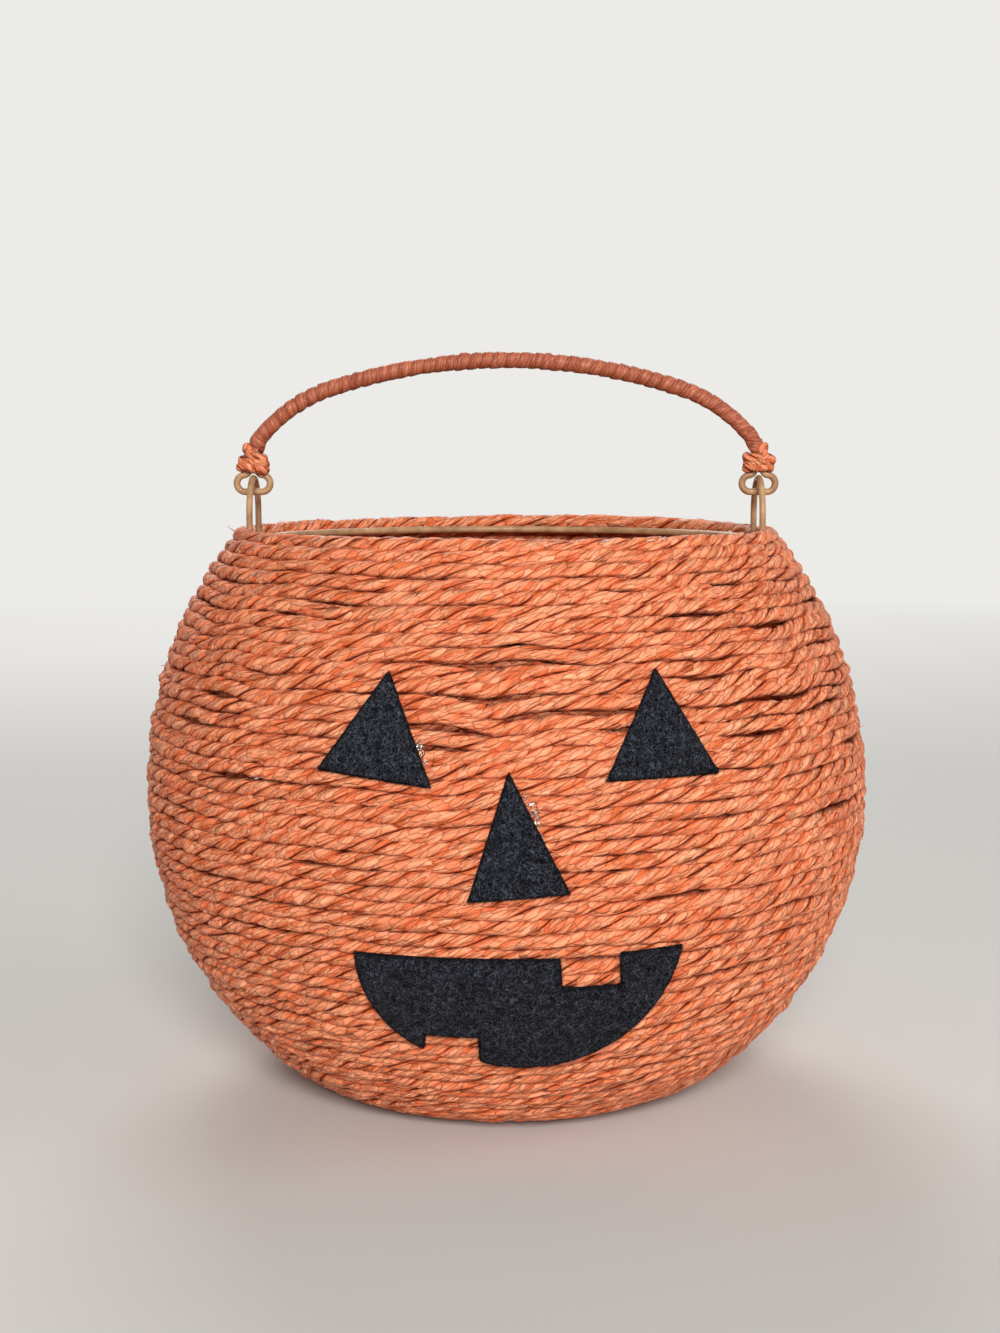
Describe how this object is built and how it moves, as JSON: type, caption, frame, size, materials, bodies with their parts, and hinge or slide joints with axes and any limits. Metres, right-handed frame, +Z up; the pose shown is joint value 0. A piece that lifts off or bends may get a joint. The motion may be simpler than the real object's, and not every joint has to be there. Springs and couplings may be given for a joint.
{
  "type": "pumpkin candy pail",
  "caption": "Round pumpkin-shaped candy pail of orange paper rope wound on a wire frame, with a black felt face and a wrapped wire bail handle that swings on wire lugs.",
  "frame": {"origin": "on the floor under the middle of the base", "axes": "+Z up, the face looks along -Y, and the handle's hinge lies along X"},
  "size_m": [0.2401, 0.242, 0.2438],
  "materials": {
    "paper_rope": "satin",
    "paper_cord": "satin",
    "painted_wire": "satin",
    "black_felt": "matte",
    "clear_glue": "gloss"
  },
  "bodies": {
    "pail": {"mouth_winding": "paper_rope", "shoulder_winding": "paper_rope", "belly_winding": "paper_rope", "lower_winding": "paper_rope", "base_winding": "paper_rope", "rim_ring": "painted_wire", "base_ring": "painted_wire", "base_cross_lower": "painted_wire", "base_cross_upper": "painted_wire", "left_lug": "painted_wire", "right_lug": "painted_wire", "rib_1": "painted_wire", "rib_2": "painted_wire", "rib_3": "painted_wire", "rib_4": "painted_wire", "rib_5": "painted_wire", "rib_6": "painted_wire", "rib_7": "painted_wire", "rib_8": "painted_wire", "left_eye_felt": "black_felt", "right_eye_felt": "black_felt", "nose_felt": "black_felt", "mouth_felt": "black_felt", "left_eye_glue": "clear_glue", "right_eye_glue": "clear_glue", "nose_glue": "clear_glue", "mouth_glue": "clear_glue"},
    "handle": {"handle_wire": "painted_wire", "handle_wrap_left": "paper_cord", "handle_wrap_right": "paper_cord", "left_binding": "paper_cord", "right_binding": "paper_cord"}
  },
  "joints": [
    {"name": "handle_swing", "type": "hinge", "parent": "pail", "child": "handle", "pos_m": [0, 0, 0.1901], "axis": [1, 0, 0], "range_deg": [-90, 90]}
  ]
}
